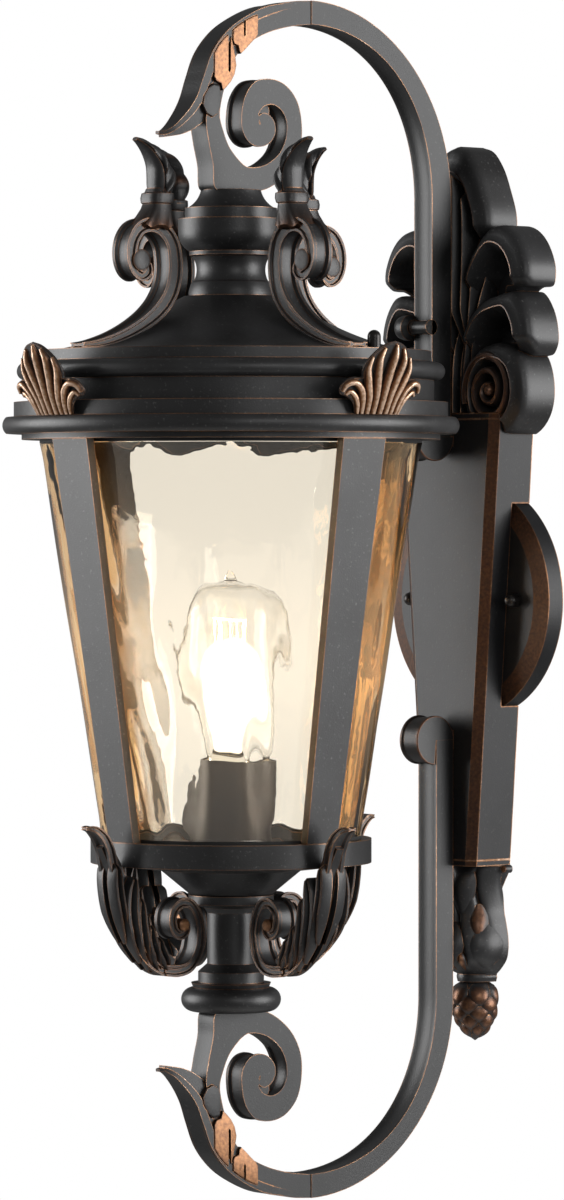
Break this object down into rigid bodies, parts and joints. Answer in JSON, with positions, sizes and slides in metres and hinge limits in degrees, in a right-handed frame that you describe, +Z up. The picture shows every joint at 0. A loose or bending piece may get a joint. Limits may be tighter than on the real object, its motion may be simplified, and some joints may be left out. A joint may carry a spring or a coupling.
{
  "type": "outdoor wall lantern",
  "caption": "Traditional outdoor wall lantern: a tapering rippled glass cage with a bell roof, held by scrolled arms on a wall spine.",
  "frame": {"origin": "centre of the wall strip's two anchor holes, on the wall plane, in the middle of the round canopy", "axes": "+Z up, the lantern stands out along -Y from the wall plane y = 0, +X to the right seen from the front"},
  "size_m": [0.257, 0.2985, 0.604],
  "materials": {
    "bronze_casting": "cast aluminium with a dark antique bronze powder coat, rubbed copper on its edges",
    "zinc_plated_steel": "zinc plated",
    "bronze_nut": "blackened cap nut with bright edges",
    "amber_water_glass": "rippled champagne glass",
    "seal_rubber": "black gasket",
    "brass": "turned brass",
    "porcelain": "glazed porcelain",
    "holder_cover": "dark brown bronze sleeve",
    "nickel_shell": "nickel plated screw shell",
    "bulb_glass": "clear lamp glass",
    "bulb_cap": "nickel plated lamp cap",
    "bulb_insulator": "black glass",
    "bulb_stem": "clear stem glass",
    "filament": "glowing tungsten",
    "terminal_plastic": "moulded terminal block"
  },
  "bodies": {
    "fixture": {"arm_screws": "zinc_plated_steel", "base_bracket_back": "bronze_casting", "base_bracket_front": "bronze_casting", "base_bracket_left": "bronze_casting", "base_bracket_right": "bronze_casting", "base_column": "bronze_casting", "base_dish": "bronze_casting", "base_nipple": "brass", "base_washer": "bronze_casting", "cage_post_back": "bronze_casting", "cage_post_front": "bronze_casting", "cage_post_left": "bronze_casting", "cage_post_right": "bronze_casting", "cage_rim": "bronze_casting", "canopy": "bronze_casting", "canopy_nuts": "bronze_nut", "canopy_studs": "zinc_plated_steel", "earth_screw": "brass", "glass_seal_foot": "seal_rubber", "glass_seal_top": "seal_rubber", "glass_shade": "amber_water_glass", "lampholder_body": "porcelain", "lampholder_contact": "brass", "lampholder_shell": "nickel_shell", "lampholder_sleeve": "holder_cover", "lower_arm": "bronze_casting", "nipple_nut": "zinc_plated_steel", "ornament_screws": "zinc_plated_steel", "pinecone_finial": "bronze_casting", "rim_palmette_front": "bronze_casting", "rim_palmette_left": "bronze_casting", "rim_palmette_right": "bronze_casting", "roof_bracket_back": "bronze_casting", "roof_bracket_front": "bronze_casting", "roof_bracket_left": "bronze_casting", "roof_bracket_right": "bronze_casting", "roof_cap": "bronze_casting", "roof_cornice": "bronze_casting", "roof_neck": "bronze_casting", "roof_nuts": "bronze_nut", "roof_shell": "bronze_casting", "roof_studs": "zinc_plated_steel", "roof_tie_nut": "zinc_plated_steel", "roof_tie_rod": "zinc_plated_steel", "spine": "bronze_casting", "spine_foot_leaf": "bronze_casting", "spine_foot_plate": "bronze_casting", "spine_screws": "zinc_plated_steel", "spine_top_plate": "bronze_casting", "terminal_block": "terminal_plastic", "upper_arm": "bronze_casting", "wall_bracket": "zinc_plated_steel", "wall_palmette": "bronze_casting"},
    "bulb_tip": {"bulb_contact": "bulb_cap", "bulb_insulator": "bulb_insulator"},
    "bulb": {"bulb_glass": "bulb_glass", "bulb_cap": "bulb_cap", "bulb_stem": "bulb_stem", "bulb_filament": "filament"}
  },
  "joints": [
    {"name": "bulb_lift", "type": "slide", "parent": "fixture", "child": "bulb_tip", "axis": [0, 0, 1], "range_m": [0, 0.0256]},
    {"name": "bulb_turn", "type": "hinge", "parent": "bulb_tip", "child": "bulb", "pos_m": [0, -0.17, -0.0915], "axis": [0, 0, 1], "range_deg": [0, 2520]}
  ],
  "couplings": [
    {"joint": "bulb_lift", "follows": "bulb_turn", "m_per_rad": 0.00057757}
  ]
}
